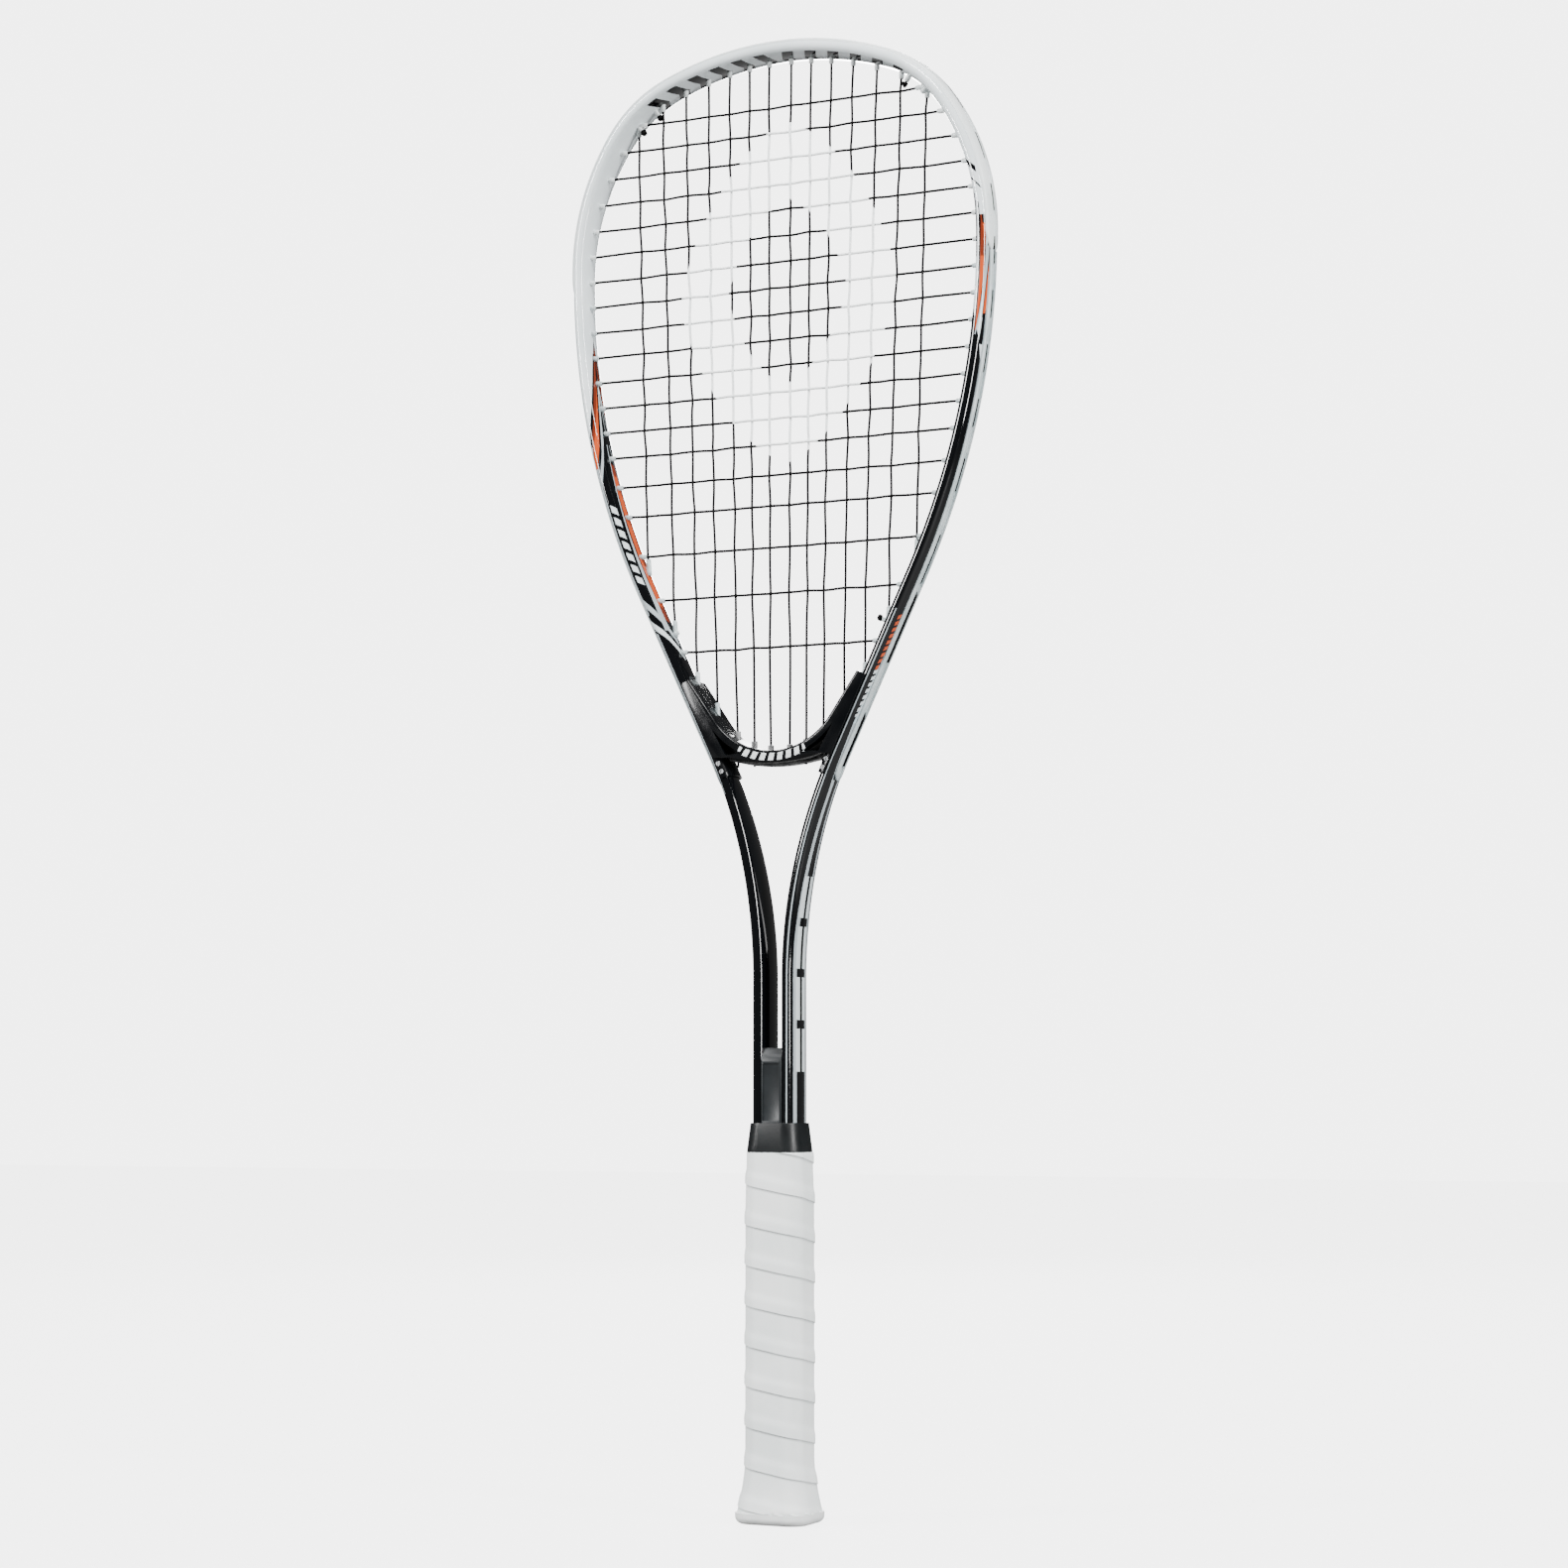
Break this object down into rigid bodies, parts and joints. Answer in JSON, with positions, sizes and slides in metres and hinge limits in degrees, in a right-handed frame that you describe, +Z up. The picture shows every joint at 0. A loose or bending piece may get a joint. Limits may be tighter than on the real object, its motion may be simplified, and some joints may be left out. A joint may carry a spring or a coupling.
{
  "type": "squash racket",
  "caption": "Strung squash racket: teardrop head of lacquered oval tube, riveted throat bridge, two parallel shafts and a white wrapped grip.",
  "frame": {"origin": "middle of the flat butt face, at the bottom of the handle", "axes": "+Z up the handle to the crown of the head, +X across the head, +Y through the racket's thickness"},
  "size_m": [0.2164, 0.032, 0.6856],
  "materials": {
    "frame_lacquer": "glossy clear lacquer over black composite, with white, orange and silver bands",
    "guard_nylon": "smooth moulded white nylon",
    "grommet_nylon": "translucent pale nylon, satin",
    "bridge_nylon": "glossy moulded black nylon",
    "steel": "plain wire and rivet steel",
    "string_coating": "black coated nylon string with a pale stencilled shape",
    "insert_plastic": "dark grey satin plastic with a fine grain",
    "collar_rubber": "smooth stretched black rubber",
    "handle_foam": "rigid moulded polyurethane foam",
    "cap_plastic": "moulded white plastic",
    "wrap_leather": "white cushioned synthetic leather, wound in a spiral",
    "tape_vinyl": "black vinyl finishing tape"
  },
  "bodies": {
    "root": {"frame_tube": "frame_lacquer", "bumper_guard": "guard_nylon", "grommet_strip_right": "grommet_nylon", "grommet_strip_left": "grommet_nylon", "throat_bridge": "bridge_nylon", "bridge_grommets": "grommet_nylon", "bridge_rivets": "steel", "main_string": "string_coating", "cross_string": "string_coating", "shaft_insert": "insert_plastic", "collar": "collar_rubber", "pallet_front": "handle_foam", "pallet_back": "handle_foam", "pallet_staples": "steel", "butt_cap": "cap_plastic", "butt_cap_staples": "steel", "grip_wrap": "wrap_leather", "grip_staple": "steel", "finishing_tape": "tape_vinyl"}
  },
  "joints": []
}
